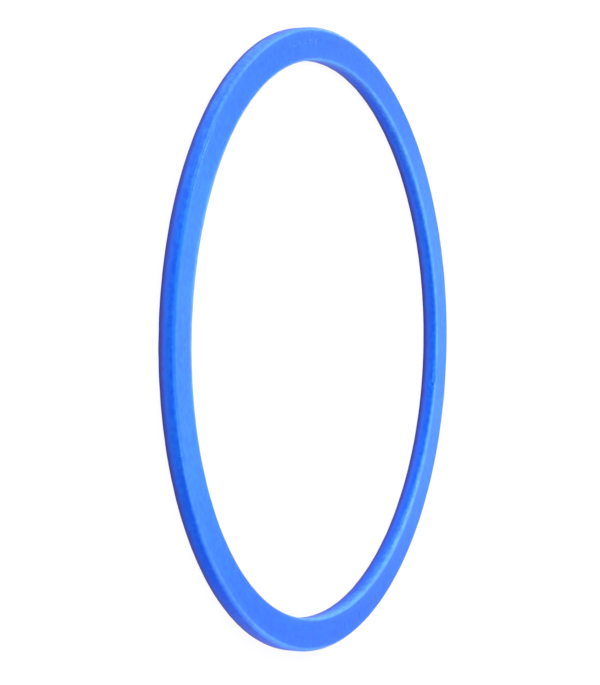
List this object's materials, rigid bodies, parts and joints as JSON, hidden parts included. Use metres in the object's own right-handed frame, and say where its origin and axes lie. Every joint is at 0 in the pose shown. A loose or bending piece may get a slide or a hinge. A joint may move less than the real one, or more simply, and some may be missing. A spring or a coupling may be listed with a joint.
{
  "type": "static seal",
  "caption": "Flat moulded ring seal with a rounded rectangular section, which seats in a groove and seals a fixed joint.",
  "frame": {"origin": "centre of the lower sealing face, on the ring's axis", "axes": "+Z along the ring's axis, away from the face the seal lies on; X and Y lie in that face"},
  "size_m": [0.114, 0.114, 0.0032],
  "materials": {
    "blue_polyurethane": "smooth satin moulded polyurethane, opaque, evenly coloured through"
  },
  "bodies": {
    "root": {"seal_ring": "blue_polyurethane"}
  },
  "joints": []
}
